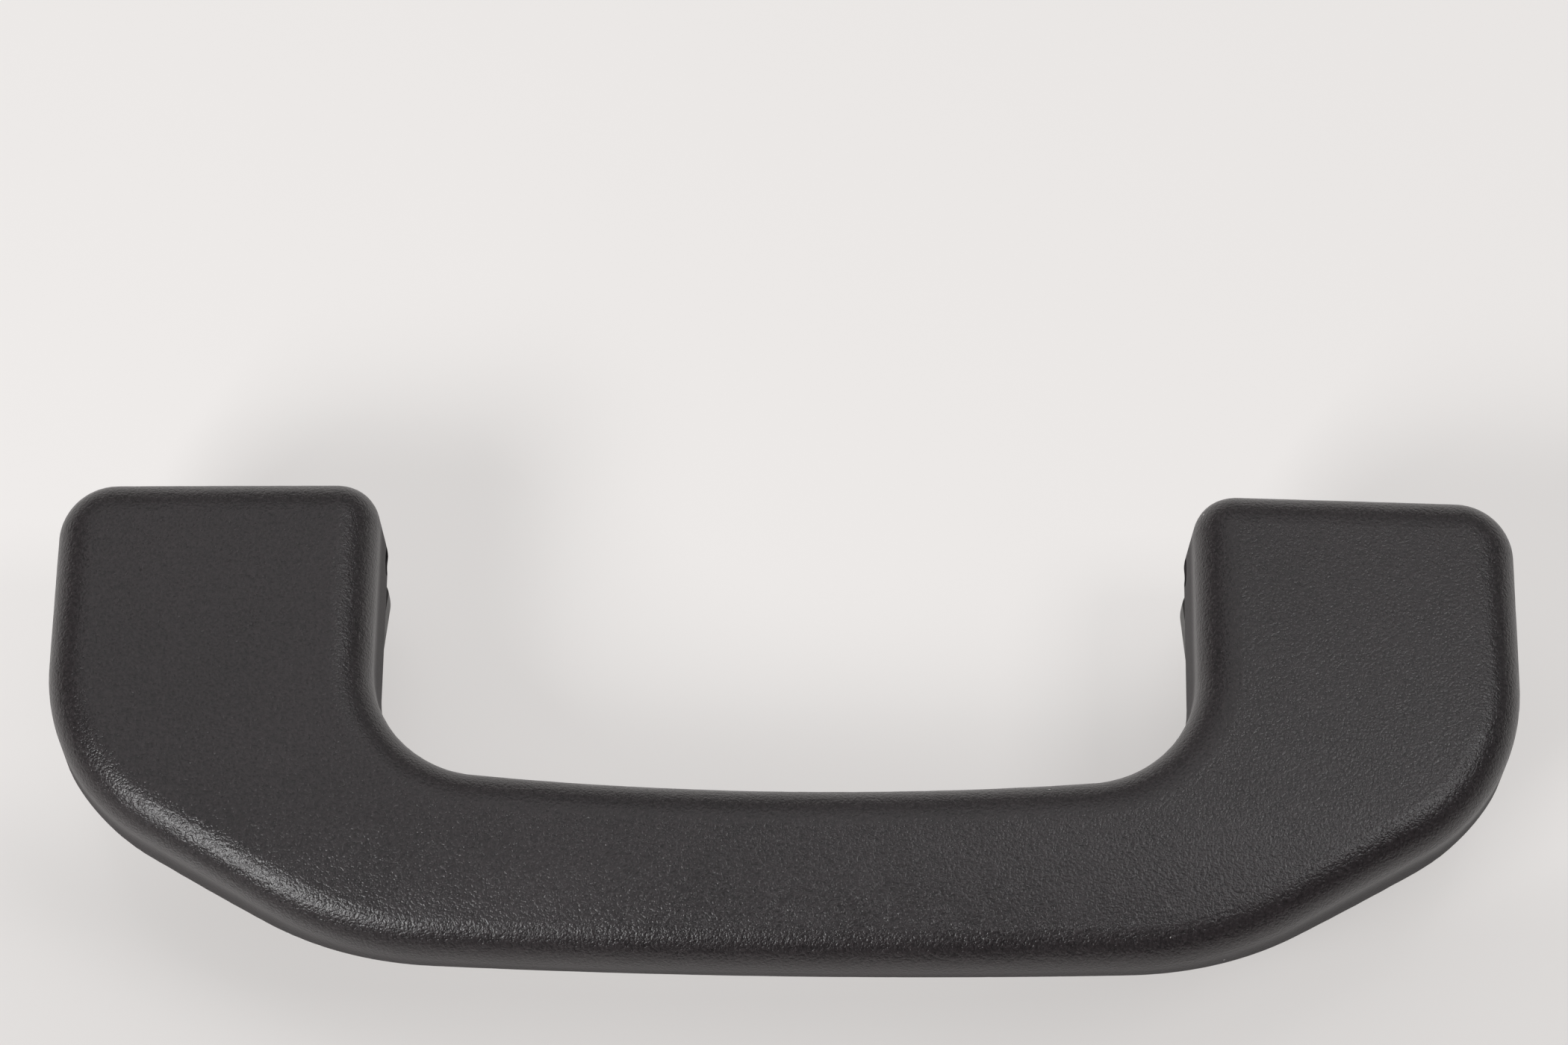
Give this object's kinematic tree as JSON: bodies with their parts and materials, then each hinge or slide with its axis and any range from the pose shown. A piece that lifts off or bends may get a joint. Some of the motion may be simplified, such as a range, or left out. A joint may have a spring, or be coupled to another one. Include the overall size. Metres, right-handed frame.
{
  "type": "roof grab handle",
  "caption": "Swing-down roof grab handle: one-piece U-shaped moulded grip on hinged legs, spring-returned and damped, on brackets with captive studs.",
  "frame": {"origin": "midway between the two fixing studs, on the mounting plane behind the bracket pads", "axes": "+X along the handle, +Y from the grip toward the hinged leg ends, +Z away from the roof toward the hand"},
  "size_m": [0.2298, 0.0781, 0.0449],
  "materials": {
    "grip_plastic": "fine moulded grain, anthracite black",
    "bracket_plastic": "glass-filled black, slightly rough",
    "bush_plastic": "natural white, smooth",
    "pin_steel": "ground",
    "spring_steel": "drawn wire, oiled",
    "zinc_steel": "zinc plated",
    "damper_plastic": "smooth dark grey",
    "rotor_plastic": "natural white, smooth",
    "seal_rubber": "matt",
    "cover_plastic": "fine moulded grain",
    "buffer_rubber": "matt"
  },
  "bodies": {
    "roof_mounts": {"return_spring": "spring_steel", "damper_barrel": "damper_plastic", "damper_cap": "damper_plastic", "right_bracket": "bracket_plastic", "right_bush_inner": "bush_plastic", "right_bush_outer": "bush_plastic", "right_sleeve": "zinc_steel", "right_screw": "zinc_steel", "right_screw_cover": "cover_plastic", "right_buffer": "buffer_rubber", "left_bracket": "bracket_plastic", "left_bush_inner": "bush_plastic", "left_bush_outer": "bush_plastic", "left_sleeve": "zinc_steel", "left_screw": "zinc_steel", "left_screw_cover": "cover_plastic", "left_buffer": "buffer_rubber"},
    "swing_handle": {"grip": "grip_plastic", "right_hinge_pin": "pin_steel", "left_hinge_pin": "pin_steel", "damper_rotor": "rotor_plastic", "damper_seal": "seal_rubber"}
  },
  "joints": [
    {"name": "grip_swing", "type": "hinge", "parent": "roof_mounts", "child": "swing_handle", "pos_m": [0, 0.0146, 0.0106], "axis": [-1, 0, 0], "range_deg": [0, 80], "stiffness_Nm_per_rad": 0.25, "springref_deg": -34.38, "deforming": ["return_spring"]}
  ]
}
